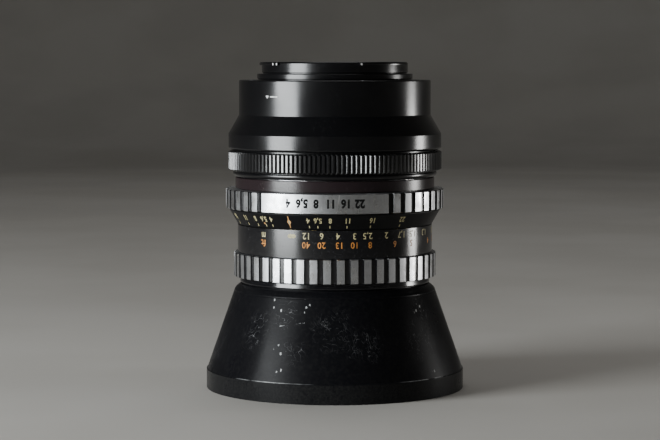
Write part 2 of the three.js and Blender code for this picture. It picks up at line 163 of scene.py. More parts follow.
world = bpy.data.worlds.new("room")
world.use_nodes = True
world.node_tree.nodes["Background"].inputs["Color"].default_value = (0.20, 0.20, 0.21, 1)
world.node_tree.nodes["Background"].inputs["Strength"].default_value = 0.1
bpy.context.scene.world = world

# ---------------------------------------------------------------- front barrel
# The wide cone that carries the front glass and the 86 mm filter thread. Turned from
# aluminium and lacquered glossy black, rubbed bare along its edges and chipped by use.
MM = 0.001
FINE_SIDES = 256
EDGE = 0.00018


def save_piece(name, mesh, *materials):
    data = bpy.data.meshes.new(name)
    mesh.to_mesh(data)
    mesh.free()
    data.shade_smooth()
    data.set_sharp_from_angle(angle=math.radians(38))
    for material in materials:
        data.materials.append(material)
    piece = bpy.data.objects.new(name, data)
    bpy.context.scene.collection.objects.link(piece)
    return piece


def spin_outline(outline, sides):
    """A closed outline of (radius, height) in millimetres, spun once round the axis."""
    mesh = bmesh.new()
    corners = [mesh.verts.new((radius * MM, 0, height * MM)) for radius, height in outline]
    edges = [mesh.edges.new(pair) for pair in zip(corners, corners[1:] + corners[:1])]
    bmesh.ops.spin(
        mesh, geom=corners + edges, cent=(0, 0, 0), axis=(0, 0, 1), dvec=(0, 0, 0),
        angle=2 * math.pi, steps=sides, use_merge=True, use_duplicate=False)
    bmesh.ops.remove_doubles(mesh, verts=mesh.verts[:], dist=1e-7)
    bmesh.ops.recalc_face_normals(mesh, faces=mesh.faces[:])
    return mesh


def soften(mesh, offset, segments=2, sharper_than=25):
    limit = math.radians(sharper_than)
    hard = [edge for edge in mesh.edges if edge.calc_face_angle(0) > limit]
    bmesh.ops.bevel(
        mesh, geom=hard, offset=offset, offset_type="OFFSET", segments=segments,
        profile=0.5, affect="EDGES", material=-1, clamp_overlap=True)
    bmesh.ops.remove_doubles(mesh, verts=mesh.verts[:], dist=3e-6)


def even_shading(piece):
    weighted = piece.modifiers.new("even_shading", "WEIGHTED_NORMAL")
    weighted.keep_sharp = True
    weighted.weight = 90


def turned(name, outline, *materials, sides=FINE_SIDES, edge=EDGE):
    mesh = spin_outline(outline, sides)
    soften(mesh, edge)
    piece = save_piece(name, mesh, *materials)
    even_shading(piece)
    return piece


def turning_marks(tree, place, pitch, distance, strength):
    """Fine grooves round the axis, left by the lathe tool: their height depends on Z alone."""
    height = add_node(tree, "ShaderNodeSeparateXYZ", Vector=place).outputs["Z"]
    noise = add_node(
        tree, "ShaderNodeTexNoise", {"noise_dimensions": "1D"}, W=height, Scale=1 / pitch, Detail=2.0)
    bump = add_node(
        tree, "ShaderNodeBump", Height=noise.outputs[0], Distance=distance, Strength=strength)
    return bump.outputs["Normal"], noise.outputs[0]


def combine(tree, operation, first, second):
    return add_node(
        tree, "ShaderNodeMath", {"operation": operation}, _0=first, _1=second).outputs[0]


def scratches(tree, place, stretch, scale, width, low, high):
    """Thin curved lines in two sets that lie across each other, kept only in small patches."""
    sets = []
    for number, turn in enumerate(((0.3, 0.5, 0.9), (-0.5, 0.2, -0.6))):
        lying = add_node(tree, "ShaderNodeMapping", Vector=place, Scale=stretch, Rotation=turn)
        waves = add_node(tree, "ShaderNodeTexNoise", Vector=lying.outputs[0], Scale=scale, Detail=0.5)
        away = combine(tree, "ABSOLUTE", combine(tree, "SUBTRACT", waves.outputs[0], 0.5), 0.0)
        line = add_node(
            tree, "ShaderNodeMapRange", Value=away, From_Min=width * 0.3, From_Max=width, To_Min=1.0,
            To_Max=0.0)
        patch = spots(tree, place, scale * (0.8 + 0.3 * number), 1.0, low, high)
        sets.append(combine(tree, "MULTIPLY", line.outputs[0], patch))
    return combine(tree, "MAXIMUM", *sets)


def near_point(tree, place, point, reach):
    away = add_node(
        tree, "ShaderNodeVectorMath", {"operation": "DISTANCE"}, _0=place, _1=point)
    share = add_node(
        tree, "ShaderNodeMapRange", Value=away.outputs["Value"], From_Min=0.0, From_Max=reach,
        To_Min=1.0, To_Max=0.0)
    return share.outputs[0]


def on_surface(bearing, radius, height):
    angle = math.radians(bearing)
    return Vector((radius * math.sin(angle), -radius * math.cos(angle), height)) * MM


RIM_EDGE = 7.08
RIM_R = 46.4
CONE_FOOT = 7.12
CONE_FOOT_R = 46.42
CONE_TAPER = 0.3515
HELD_SIDES = ((-4, 17), (70, 13), (160, 20), (260, 20))   # bearing and reach along the rim
KNOCKED = (   # bearing, height and reach of the places where the lacquer is chipped
    (-8, 32, 4), (-3, 30, 3), (9, 33, 3), (-1, 18, 3), (-1, 12, 3), (77, 31, 4), (77, 12, 4),
    (150, 24, 4), (190, 14, 4), (240, 28, 4), (300, 12, 4))
LONG_SCRATCH = (-3, 26, 10, 27.5, 0.17)   # from a bearing and height to another, and its width
SCRATCHED = (   # bearing, height and reach of the rubbed places
    (-18, 22, 6), (-16, 26, 6), (0, 30, 7), (6, 18, 6), (25, 25, 9), (40, 20, 8), (72, 20, 9),
    (78, 30, 6), (150, 20, 11), (205, 28, 9), (255, 20, 12), (310, 16, 9))


def cone_radius(height):
    return CONE_FOOT_R - (height - CONE_FOOT) * CONE_TAPER


def streak(tree, place, ends, radius_at):
    """A short mark between two points on the surface, one at its middle and fading to its side."""
    start = on_surface(ends[0], radius_at(ends[1]), ends[1])
    along = on_surface(ends[2], radius_at(ends[3]), ends[3]) - start
    away = add_node(tree, "ShaderNodeVectorMath", {"operation": "SUBTRACT"}, _0=place, _1=start)
    share = add_node(
        tree, "ShaderNodeVectorMath", {"operation": "DOT_PRODUCT"}, _0=away.outputs[0],
        _1=along / along.length_squared)
    held = add_node(
        tree, "ShaderNodeMath", {"operation": "ADD", "use_clamp": True}, _0=share.outputs["Value"],
        _1=0.0)
    foot = add_node(
        tree, "ShaderNodeVectorMath", {"operation": "SCALE"}, _0=along, Scale=held.outputs[0])
    reach = add_node(
        tree, "ShaderNodeVectorMath", {"operation": "DISTANCE"}, _0=away.outputs[0],
        _1=foot.outputs[0])
    fade = add_node(
        tree, "ShaderNodeMapRange", Value=reach.outputs["Value"], From_Min=ends[4] * 0.6 * MM,
        From_Max=ends[4] * 1.2 * MM, To_Min=1.0, To_Max=0.0)
    return fade.outputs[0]


def most(tree, shares):
    total = shares[0]
    for share in shares[1:]:
        total = combine(tree, "MAXIMUM", total, share)
    return total


def worn_lacquer():
    material, tree, shader = new_material(
        "worn_black_lacquer", (0.008, 0.008, 0.009), 0.3, Specular_IOR_Level=0.065)
    place = add_node(tree, "ShaderNodeTexCoord").outputs["Object"]
    normal, _ = turning_marks(tree, place, 0.00025, 0.000004, 0.25)
    grain = add_node(tree, "ShaderNodeTexNoise", Vector=place, Scale=1400.0, Detail=3.0)
    rough = add_node(
        tree, "ShaderNodeBump", Height=grain.outputs[0], Distance=0.000012, Strength=0.18,
        Normal=normal)
    # fine scratches lie in a few rubbed places
    fine = scratches(tree, place, (1, 3.2, 1), 430.0, 0.011, 0.48, 0.6)
    rubbed_places = most(tree, [
        near_point(tree, place, on_surface(bearing, cone_radius(height), height), reach * MM)
        for bearing, height, reach in SCRATCHED])
    scuffs = combine(tree, "MULTIPLY", fine, rubbed_places)
    # chips go down to grey primer, with ragged edges
    ragged = add_node(tree, "ShaderNodeTexNoise", Vector=place, Scale=2200.0, Detail=2.0)
    warped = add_node(
        tree, "ShaderNodeVectorMath", {"operation": "MULTIPLY_ADD"}, _0=ragged.outputs["Color"],
        _1=(0.0007,) * 3, _2=place)
    centred = add_node(
        tree, "ShaderNodeVectorMath", {"operation": "SUBTRACT"}, _0=warped.outputs[0],
        _1=(0.00035,) * 3)
    lying = add_node(
        tree, "ShaderNodeMapping", Vector=centred.outputs[0], Scale=(1, 1, 0.6),
        Rotation=(0.4, 0.7, 0.2))
    cells = add_node(tree, "ShaderNodeTexVoronoi", Vector=lying.outputs[0], Scale=560.0)
    flake = add_node(
        tree, "ShaderNodeMapRange", Value=cells.outputs["Distance"], From_Min=0.15, From_Max=0.21,
        To_Min=1.0, To_Max=0.0)
    knocked_places = most(tree, [
        near_point(tree, place, on_surface(bearing, cone_radius(height), height), reach * MM)
        for bearing, height, reach in KNOCKED])
    inside = add_node(
        tree, "ShaderNodeMapRange", Value=knocked_places, From_Min=0.1, From_Max=0.3)
    chips = combine(tree, "MULTIPLY", flake.outputs[0], inside.outputs[0])
    broken = spots(tree, place, 1500.0, 1.0, 0.42, 0.52)
    long_scratch = combine(
        tree, "MULTIPLY", streak(tree, place, LONG_SCRATCH, cone_radius), broken)
    # the rim's edge is rubbed through along the two sides that are held
    height = add_node(tree, "ShaderNodeSeparateXYZ", Vector=place).outputs["Z"]
    from_edge = combine(tree, "ABSOLUTE", combine(tree, "SUBTRACT", height, RIM_EDGE * MM), 0.0)
    edge = add_node(
        tree, "ShaderNodeMapRange", Value=from_edge, From_Min=0.00004, From_Max=0.00016, To_Min=1.0,
        To_Max=0.0)
    held_sides = most(tree, [
        near_point(tree, place, on_surface(bearing, RIM_R, RIM_EDGE), reach * MM)
        for bearing, reach in HELD_SIDES])
    rubbed = combine(
        tree, "MULTIPLY", combine(tree, "MULTIPLY", edge.outputs[0], held_sides),
        spots(tree, place, 260.0, 4.0, 0.36, 0.56))
    bare = combine(tree, "MAXIMUM", combine(tree, "MAXIMUM", chips, rubbed), long_scratch)
    dust = spots(tree, place, 900.0, 6.0, 0.45, 0.75)
    black = blend_colours(tree, dust, (0.005, 0.005, 0.006), (0.009, 0.009, 0.0095))
    # the rim is painted greyer than the cone: partly mottled rubbed wear, partly a painted sheen that
    # stands in for the brighter reflection the rim catches
    low = add_node(
        tree, "ShaderNodeMapRange", Value=height, From_Min=0.0066, From_Max=0.0071, To_Min=1.0,
        To_Max=0.0)
    rim_wear_and_painted_sheen = combine(tree, "MULTIPLY", low.outputs[0], spots(tree, place, 1500.0, 6.0, 0.3, 0.8))
    black = blend_colours(tree, rim_wear_and_painted_sheen, black, (0.017, 0.017, 0.0165))
    scuffed = blend_colours(tree, scuffs, black, (0.17, 0.17, 0.175))
    colour = blend_colours(tree, bare, scuffed, (0.46, 0.47, 0.47))
    tree.links.new(colour, shader.inputs["Base Color"])
    sunk = combine(tree, "SUBTRACT", 1.0, bare)
    dented = add_node(
        tree, "ShaderNodeBump", Height=sunk, Distance=0.00004, Strength=0.6,
        Normal=rough.outputs[0])
    tree.links.new(dented.outputs[0], shader.inputs["Normal"])
    duller = add_node(
        tree, "ShaderNodeMapRange", Value=spots(tree, place, 45.0, 5.0), To_Min=0.24, To_Max=0.36)
    roughness = combine(tree, "MAXIMUM", duller.outputs[0], combine(tree, "MULTIPLY", bare, 0.6))
    tree.links.new(roughness, shader.inputs["Roughness"])
    return material


lacquer = worn_lacquer()
front_barrel = turned("front_barrel", [
    (43.0, 0.0), (46.75, 0.0), (46.75, 6.85), (46.58, RIM_EDGE), (CONE_FOOT_R, CONE_FOOT), (41.9, 20.0),
    (36.6, 35.2), (36.42, 35.24), (36.42, 35.4), (36.5, 35.46), (36.35, 35.9), (35.9, 36.5),
    (35.2, 37.1), (34.4, 37.75), (34.35, 38.0), (33.4, 38.05), (33.4, 38.38), (31.9, 38.38),
    (31.9, 35.95), (34.5, 35.95), (41.0, 10.4), (43.0, 10.4),
    *[(43.0 if i % 2 else 42.55, 7.4 - 0.375 * i) for i in range(1, 18)],
], lacquer)
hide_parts("front_cone_barrel")
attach(front_barrel, "front_unit")

# ---------------------------------------------------------------- front ring and retaining ring
# The black dished ring round the front glass, ribbed against stray light, and the thin
# threaded ring under it that holds the glass in its cell. Both matt black aluminium.


def satin_anodised(name, colour, roughness, gloss_level=0.45):
    material, tree, shader = new_material(name, colour, roughness, Specular_IOR_Level=gloss_level)
    place = add_node(tree, "ShaderNodeTexCoord").outputs["Object"]
    normal, _ = turning_marks(tree, place, 0.00016, 0.000008, 0.5)
    grain = add_node(tree, "ShaderNodeTexNoise", Vector=place, Scale=1900.0, Detail=3.0)
    pitted = add_node(
        tree, "ShaderNodeBump", Height=grain.outputs[0], Distance=0.000014, Strength=0.3,
        Normal=normal)
    tree.links.new(pitted.outputs[0], shader.inputs["Normal"])
    wiped = add_node(
        tree, "ShaderNodeMapRange", Value=spots(tree, place, 60.0, 4.0, 0.3, 0.7),
        To_Min=roughness - 0.04, To_Max=roughness + 0.05)
    tree.links.new(wiped.outputs[0], shader.inputs["Roughness"])
    lighter = tuple(channel * 1.6 + 0.002 for channel in colour)
    specks = spots(tree, place, 700.0, 3.0, 0.62, 0.72)
    toned = blend_colours(tree, specks, colour, lighter)
    tree.links.new(toned, shader.inputs["Base Color"])
    return material


satin_black = satin_anodised("satin_black", (0.004, 0.004, 0.0045), 0.21, gloss_level=0.4)
ribs = [(41.6 - 0.8 * i + (0.4 if step else 0.0), 9.1 + 0.36 * i + (0.25 if step else 0.0))
        for i in range(12) for step in (1, 0)]
front_ring = turned("front_dished_ring", [
    (42.8, 8.65), *ribs, (31.9, 13.4), (31.3, 13.8), (31.3, 14.85), (33.6, 14.85), (40.6, 10.3),
    (42.8, 10.3)], satin_black, edge=0.00005)
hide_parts("front_name_ring")
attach(front_ring, "front_unit")

retaining_ring = turned("front_glass_retainer", [
    (31.3, 15.15), (32.6, 15.15), (32.6, 16.25), (31.3, 16.25)], satin_black)
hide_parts("front_retaining_ring")
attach(retaining_ring, "front_unit")

# ---------------------------------------------------------------- lens elements
# Seven polished glasses of a wide-angle layout, held in black cells. Their edges are
# blackened and their faces carry one thin violet coating.
GLASSES = [  # vertex, centre thickness, front radius, rear radius, half width, half width behind
    (9.0, 3.0, 70, 36, 32.4, 24), (25.5, 2.2, 90, 28, 22, 18), (36.5, 9.0, 60, -60, 22, 22),
    (48.0, 6.5, 80, -150, 22, 22), (72.6, 1.8, -60, 45, 16, 16), (74.45, 6.75, 45, -48, 16, 16),
    (81.9, 5.1, 90, -60, 16, 16)]


def coated_glass():
    material, tree, shader = new_material(
        "coated_glass", (0.93, 0.96, 0.97), 0.015, Transmission_Weight=1.0, IOR=1.62,
        Specular_Tint=(0.75, 0.62, 1.0, 1), Coat_Weight=0.15, Coat_Roughness=0.03)
    place = add_node(tree, "ShaderNodeTexCoord").outputs["Object"]
    wiped = add_node(
        tree, "ShaderNodeMapRange", Value=spots(tree, place, 110.0, 4.0), To_Min=0.01, To_Max=0.04)
    tree.links.new(wiped.outputs[0], shader.inputs["Roughness"])
    return material


def dome(radius, vertex, half_width, steps=14):
    points = []
    for i in range(steps + 1):
        reach = half_width * i / steps
        sag = radius - math.copysign(math.sqrt(radius ** 2 - reach ** 2), radius)
        points.append((max(reach, 0.001), vertex + sag))
    return points


glass = coated_glass()
edge_black = satin_anodised("blackened_edge", (0.006, 0.006, 0.006), 0.5)
for number, (vertex, thickness, front, rear, half, half_rear) in enumerate(GLASSES, 1):
    outline = dome(front, vertex, half)
    behind = dome(rear, vertex + thickness, half_rear)
    if half_rear < half:
        behind.append((half, behind[-1][1]))
    mesh = spin_outline(outline + behind[::-1], 128)
    poles = [vert for vert in mesh.verts if vert.co.xy.length < 0.0001]
    bmesh.ops.remove_doubles(mesh, verts=poles, dist=0.00001)
    bmesh.ops.recalc_face_normals(mesh, faces=mesh.faces[:])
    for face in mesh.faces:
        face.material_index = int(abs(face.normal.z) < 0.2 or (
            half_rear < half and face.calc_center_median().xy.length > half_rear * MM
            and face.normal.z > 0.9))
    element = save_piece(f"lens_glass_{number}", mesh, glass, edge_black)
    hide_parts(f"lens_element_{number}")
    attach(element, "front_unit")

# ---------------------------------------------------------------- neck ring
# The glossy black tube behind the cone that slides into the focusing ring as the front
# moves out. Its lower lip flares out a little.


def gloss_black():
    material, tree, shader = new_material("gloss_black", (0.006, 0.006, 0.007), 0.16)
    place = add_node(tree, "ShaderNodeTexCoord").outputs["Object"]
    normal, _ = turning_marks(tree, place, 0.0003, 0.000003, 0.2)
    grain = add_node(tree, "ShaderNodeTexNoise", Vector=place, Scale=1700.0, Detail=3.0)
    rough = add_node(
        tree, "ShaderNodeBump", Height=grain.outputs[0], Distance=0.00001, Strength=0.2,
        Normal=normal)
    tree.links.new(rough.outputs[0], shader.inputs["Normal"])
    marks = scratches(tree, place, (1, 1, 2.0), 420.0, 0.006, 0.58, 0.66)
    dust = spots(tree, place, 1300.0, 5.0, 0.58, 0.76)
    black = blend_colours(tree, dust, (0.004, 0.004, 0.005), (0.022, 0.022, 0.024))
    tree.links.new(blend_colours(tree, marks, black, (0.07, 0.07, 0.075)), shader.inputs["Base Color"])
    wiped = add_node(
        tree, "ShaderNodeMapRange", Value=spots(tree, place, 70.0, 4.0), To_Min=0.12, To_Max=0.2)
    tree.links.new(wiped.outputs[0], shader.inputs["Roughness"])
    return material


gloss = gloss_black()
neck = turned("neck_ring", [
    (33.2, 38.45), (34.3, 38.45), (34.42, 38.65), (34.42, 38.95), (34.2, 40.3), (34.0, 41.2),
    (34.0, 48.55), (33.2, 48.55)], gloss, edge=0.00012)
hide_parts("front_neck_ring")
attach(neck, "front_unit")

# ---------------------------------------------------------------- focusing grip
# A bright aluminium ring with forty-eight hollow flutes milled across it and filled with
# glossy black, so that the lands stay bare. Three grub screws in the flutes hold it.
GRIP_FLUTES = 48
STOP_R = 39.45   # outer radius of the aperture ring, which is of the same metal and is knocked
RING_KNOCKS = ((28, 72, 27, 66.5, 0.24), (27, 66.5, 26, 65.5, 0.16))   # ends and width, as above
FLUTE_STEPS = 18
LAND_STEPS = 10


def bare_aluminium():
    material, tree, shader = new_material("bare_aluminium", (0.72, 0.73, 0.74), 0.3, 1.0)
    place = add_node(tree, "ShaderNodeTexCoord").outputs["Object"]
    axes = add_node(tree, "ShaderNodeSeparateXYZ", Vector=place)
    bearing = combine(tree, "ARCTAN2", axes.outputs["X"], axes.outputs["Y"])
    normal, _ = turning_marks(tree, place, 0.00011, 0.00001, 0.5)
    # rubbed streaks that run across the ring, along the lands
    across = add_node(
        tree, "ShaderNodeTexNoise", {"noise_dimensions": "2D"}, Scale=1.0, Detail=3.0,
        Vector=add_node(
            tree, "ShaderNodeCombineXYZ", X=combine(tree, "MULTIPLY", bearing, 220.0),
            Y=combine(tree, "MULTIPLY", axes.outputs["Z"], 260.0)).outputs[0])
    dents = add_node(
        tree, "ShaderNodeBump", Height=across.outputs[0], Distance=0.00003, Strength=0.35,
        Normal=normal)
    tree.links.new(dents.outputs[0], shader.inputs["Normal"])
    grime = spots(tree, place, 260.0, 5.0, 0.35, 0.75)
    metal = blend_colours(tree, grime, (0.80, 0.81, 0.83), (0.34, 0.35, 0.36))
    marks = scratches(tree, place, (1, 1, 2.0), 460.0, 0.008, 0.55, 0.63)
    knocks = [streak(tree, place, ends, lambda height: STOP_R) for ends in RING_KNOCKS]
    marked = most(tree, [marks, *knocks])
    bright = blend_colours(tree, marked, metal, (0.95, 0.95, 0.95))
    streaks = add_node(tree, "ShaderNodeMapRange", Value=across.outputs[0], From_Min=0.3, From_Max=0.7)
    worn = blend_colours(tree, streaks.outputs[0], bright, (0.56, 0.57, 0.59))
    tree.links.new(worn, shader.inputs["Base Color"])
    roughness = add_node(
        tree, "ShaderNodeMapRange", Value=combine(tree, "ADD", grime, across.outputs[0]),
        From_Min=0.2, From_Max=1.5, To_Min=0.2, To_Max=0.44)
    tree.links.new(roughness.outputs[0], shader.inputs["Roughness"])
    return material


def flute_dip(step, depth):
    """How deep a flute is, that many steps into its pitch: steep walls and a nearly flat floor."""
    into = (step - LAND_STEPS) / (FLUTE_STEPS - LAND_STEPS)
    if not 0 < into < 1:
        return 0.0
    return depth * (0.88 + 0.12 * math.sin(math.pi * into))


def fluted(name, outline, flutes, first_land, outer, depth, plain, *materials):
    """A turned ring whose outer wall is milled with flutes, save where plain says not to."""
    steps = flutes * FLUTE_STEPS
    mesh = spin_outline(outline, steps)
    pitch = 360 / flutes
    start = math.radians(first_land - pitch * LAND_STEPS / FLUTE_STEPS / 2 - 90)
    bmesh.ops.rotate(
        mesh, verts=mesh.verts[:], cent=(0, 0, 0), matrix=Matrix.Rotation(start, 3, "Z"))

    def pitch_step(point):
        bearing = math.degrees(math.atan2(point.x, -point.y)) - first_land
        share = (bearing / pitch + LAND_STEPS / FLUTE_STEPS / 2) % 1.0
        return share * FLUTE_STEPS, bearing % 360

    milled = (outer - depth - 0.05) * MM
    for vert in mesh.verts:
        step, bearing = pitch_step(vert.co)
        dip = flute_dip(round(step, 3), depth) * MM
        if vert.co.xy.length > milled and dip and not plain(bearing):
            radius = vert.co.xy.length
            vert.co.xy *= (radius - dip) / radius
    for face in mesh.faces:
        step, bearing = pitch_step(face.calc_center_median())
        outward = face.calc_center_median().xy.length > milled - 0.0001
        if outward and LAND_STEPS < step and not plain(bearing) and abs(face.normal.z) < 0.9:
            face.material_index = 1
    piece = save_piece(name, mesh, *materials)
    even_shading(piece)
    return piece


aluminium = bare_aluminium()
grip = fluted("focusing_grip", [
    (35.1, 40.61), (35.6, 40.61), (36.35, 40.61), (36.65, 40.85), (36.65, 49.08), (36.35, 49.32),
    (35.6, 49.32), (35.1, 49.32)],
    GRIP_FLUTES, -1.0, 36.65, 0.55, lambda bearing: False, aluminium, gloss)
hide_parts("focus_grip_ring")
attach(grip, "focus_ring")

# ---------------------------------------------------------------- distance scale sleeve
# The glossy black sleeve that turns with the grip. Metres are engraved and filled cream,
# feet are filled orange, and both read the right way up with the front glass upwards.
SCALE_R = 35.27
METRE_ROW = 57.35
FEET_ROW = 54.15
FOCAL = 50.0
SCALE_RATE = 42.9   # degrees of turn for each millimetre of travel
FOOT = 304.8
FIGURE_SIZE = 2.15
FIGURE_RISE = 0.69   # how high a figure stands when the type is one unit in size
UNIT_BEARING = -19.6

sleeve = turned("distance_sleeve", [
    (34.4, 41.0), (34.95, 41.0), (34.95, 49.45), (SCALE_R, 49.45), (SCALE_R, 59.4), (34.4, 59.4)],
    gloss, edge=0.00012)
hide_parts("distance_scale_sleeve")
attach(sleeve, "focus_ring")


def filled_paint(name, colour, roughness=0.55, gloss_level=0.4):
    material, tree, shader = new_material(
        name, colour, roughness, Specular_IOR_Level=gloss_level)
    place = add_node(tree, "ShaderNodeTexCoord").outputs["Object"]
    worn = tuple(channel * 0.55 for channel in colour)
    tree.links.new(
        blend_colours(tree, spots(tree, place, 900.0, 3.0, 0.4, 0.7), colour, worn),
        shader.inputs["Base Color"])
    grain = add_node(tree, "ShaderNodeTexNoise", Vector=place, Scale=3000.0)
    bump = add_node(
        tree, "ShaderNodeBump", Height=grain.outputs[0], Distance=0.00001, Strength=0.4)
    tree.links.new(bump.outputs[0], shader.inputs["Normal"])
    return material


def figure_shape(text, narrow=0.82, heavy=0.012):
    """The figures of a label as one flat plate, one unit high, centred on the origin."""
    curve = bpy.data.curves.new(text, "FONT")
    curve.body = text
    curve.size = 1.0
    curve.offset = heavy
    curve.space_character = 1.05
    curve.resolution_u = 3
    holder = bpy.data.objects.new(text, curve)
    bpy.context.scene.collection.objects.link(holder)
    bpy.context.view_layer.update()
    data = bpy.data.meshes.new_from_object(holder.evaluated_get(bpy.context.evaluated_depsgraph_get()))
    bpy.data.objects.remove(holder)
    bpy.data.curves.remove(curve)
    shape = bmesh.new()
    shape.from_mesh(data)
    bpy.data.meshes.remove(data)
    bmesh.ops.remove_doubles(shape, verts=shape.verts[:], dist=1e-4)
    across = [vert.co.x for vert in shape.verts]
    middle = (min(across) + max(across)) / 2
    half_height = max(vert.co.y for vert in shape.verts) / 2
    bmesh.ops.translate(shape, verts=shape.verts[:], vec=(-middle, -half_height, 0))
    bmesh.ops.scale(shape, verts=shape.verts[:], vec=(narrow / FIGURE_RISE, 1 / FIGURE_RISE, 1))
    return shape


def bar_shape(width, height):
    shape = bmesh.new()
    bmesh.ops.create_grid(shape, x_segments=8, y_segments=1, size=0.5)
    bmesh.ops.scale(shape, verts=shape.verts[:], vec=(width, height, 1))
    return shape


def dot_shape(width, height, corners=20):
    """A round dot, or with four corners a diamond that stands on one of them."""
    shape = bmesh.new()
    bmesh.ops.create_circle(shape, cap_ends=True, radius=0.5, segments=corners)
    bmesh.ops.scale(shape, verts=shape.verts[:], vec=(width, height, 1))
    return shape


def put_mark(marks, shape, size, bearing, height, radius, slope=0.0, lift=0.02, depth=0.05):
    """Adds a shape, size millimetres high, to the marks, wrapped on a cone and upside down."""
    face_sides = bmesh.ops.extrude_face_region(shape, geom=shape.faces[:])
    for item in face_sides["geom"]:
        if isinstance(item, bmesh.types.BMVert):
            item.co.z = 1.0
    for vert in shape.verts:
        along = -vert.co.y * size
        out = lift if vert.co.z > 0.5 else lift - depth
        angle = math.radians(bearing) - vert.co.x * size / radius
        reach = radius + along * math.sin(slope) + out * math.cos(slope)
        rise = height + along * math.cos(slope) - out * math.sin(slope)
        vert.co = Vector((reach * math.sin(angle), -reach * math.cos(angle), rise)) * MM
    bmesh.ops.recalc_face_normals(shape, faces=shape.faces[:])
    data = bpy.data.meshes.new("mark")
    shape.to_mesh(data)
    shape.free()
    marks.from_mesh(data)
    bpy.data.meshes.remove(data)


def save_marks(name, marks, material, body):
    piece = save_piece(name, marks, material)
    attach(piece, body)
    return piece


def distance_bearing(distance):
    """Where a distance in millimetres stands on the sleeve, from the lens travel it needs."""
    travel = (distance - math.sqrt(distance ** 2 - 4 * FOCAL * distance)) / 2 - FOCAL
    return SCALE_RATE * travel


cream = filled_paint("cream_fill", (0.56, 0.50, 0.27))
orange = filled_paint("orange_fill", (0.62, 0.25, 0.05))

metres = bmesh.new()
for label in ("12", "6", "4", "3", "2,5", "2", "1,7", "1,5", "1,3", "1,1", "1", "0,9", "0,8", "0,7",
              "0,65", "0,6", "0,55", "0,5"):
    place = distance_bearing(float(label.replace(",", ".")) * 1000)
    put_mark(metres, figure_shape(label, narrow=0.92), FIGURE_SIZE, place, METRE_ROW, SCALE_R)
endless = figure_shape("8", narrow=0.8, heavy=0.06)
bmesh.ops.rotate(
    endless, verts=endless.verts[:], cent=(0, 0, 0), matrix=Matrix.Rotation(math.pi / 2, 3, "Z"))
bmesh.ops.scale(endless, verts=endless.verts[:], vec=(1.1, 0.95, 1))
put_mark(metres, endless, 2.4, 0.6, METRE_ROW - 0.1, SCALE_R)
put_mark(metres, figure_shape("m", narrow=0.75), 2.5, UNIT_BEARING, METRE_ROW - 0.15, SCALE_R)
save_marks("metre_scale", metres, cream, "focus_ring")

feet = bmesh.new()
for label in ("40", "20", "13", "10", "8", "6", "5", "4", "3,5", "3", "2,5", "2,2", "2", "1,8", "1,64"):
    place = distance_bearing(float(label.replace(",", ".")) * FOOT) + 0.3
    put_mark(feet, figure_shape(label, narrow=0.92), FIGURE_SIZE, place, FEET_ROW, SCALE_R)
put_mark(feet, figure_shape("ft", narrow=1.1), 2.3, UNIT_BEARING, FEET_ROW + 0.1, SCALE_R)
save_marks("feet_scale", feet, orange, "focus_ring")

# ---------------------------------------------------------------- depth of field ring
# The fixed black cone above the sleeve. Its index is a gold diamond on a line, with pairs of
# cream depth marks to either side and a gold dot for infra-red.
CONE_SLOPE = math.radians(30)
CONE_R = 36.75
CONE_MID = 62.25
DEPTH_RATE = 2.87   # degrees from the index for each unit of f-number
DEPTH_STOPS = (("4", 4.0), ("5,6", 5.66), ("8", 8.0), ("11", 11.31), ("16", 16.0), ("22", 22.63))


def depth_radius(rise):
    return CONE_R + rise * math.tan(CONE_SLOPE)


depth_black = satin_anodised("depth_ring_black", (0.003, 0.003, 0.0035), 0.42, gloss_level=0.17)
depth_ring = turned("depth_ring", [
    (34.3, 59.48), (35.0, 59.48), (35.3, 59.7), (35.42, 59.95), (38.0, 64.4), (38.2, 64.75),
    (38.2, 65.0), (34.95, 65.0), (34.95, 60.2), (34.3, 60.2)], depth_black, edge=0.0001)
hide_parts("depth_of_field_ring")
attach(depth_ring, "lens_base")

depth_marks = bmesh.new()
for label, stop in DEPTH_STOPS:
    for side in (-1, 1):
        place = side * DEPTH_RATE * stop
        nudge = (-0.3 if label == "4" else 0.3) * side
        put_mark(depth_marks, figure_shape(label, narrow=0.8, heavy=0.022), 2.0, place + nudge,
                 CONE_MID + 0.6, depth_radius(0.6), CONE_SLOPE)
        put_mark(depth_marks, bar_shape(0.3, 1.0), 1.0, place, CONE_MID - 1.6, depth_radius(-1.6),
                 CONE_SLOPE)
put_mark(depth_marks, dot_shape(0.7, 1.5, 4), 1.0, 0, CONE_MID, CONE_R, CONE_SLOPE, lift=0.05)
save_marks("depth_marks", depth_marks, cream, "lens_base")

index = bmesh.new()
put_mark(index, bar_shape(0.32, 4.9), 1.0, 0, CONE_MID, CONE_R, CONE_SLOPE)
put_mark(index, dot_shape(1.6, 2.8, 4), 1.0, 0, CONE_MID, CONE_R, CONE_SLOPE, lift=0.03)
put_mark(index, dot_shape(0.8, 0.8), 1.0, -17.0, CONE_MID - 0.9, depth_radius(-0.9), CONE_SLOPE)
gold = filled_paint("gold_fill", (0.62, 0.34, 0.13))
save_marks("index_mark", index, gold, "lens_base")

# ---------------------------------------------------------------- aperture ring
# Bright aluminium, fluted like the grip except for a plain band that carries the stops,
# engraved and filled black. The flutes are glossy black.
STOP_PITCHES = 50
FIRST_FLUTE = 55.6
LAST_FLUTE = 343.6
FIRST_STOP = 1.4
STOP_SPACING = 7.4
STOP_ROW = 68.8

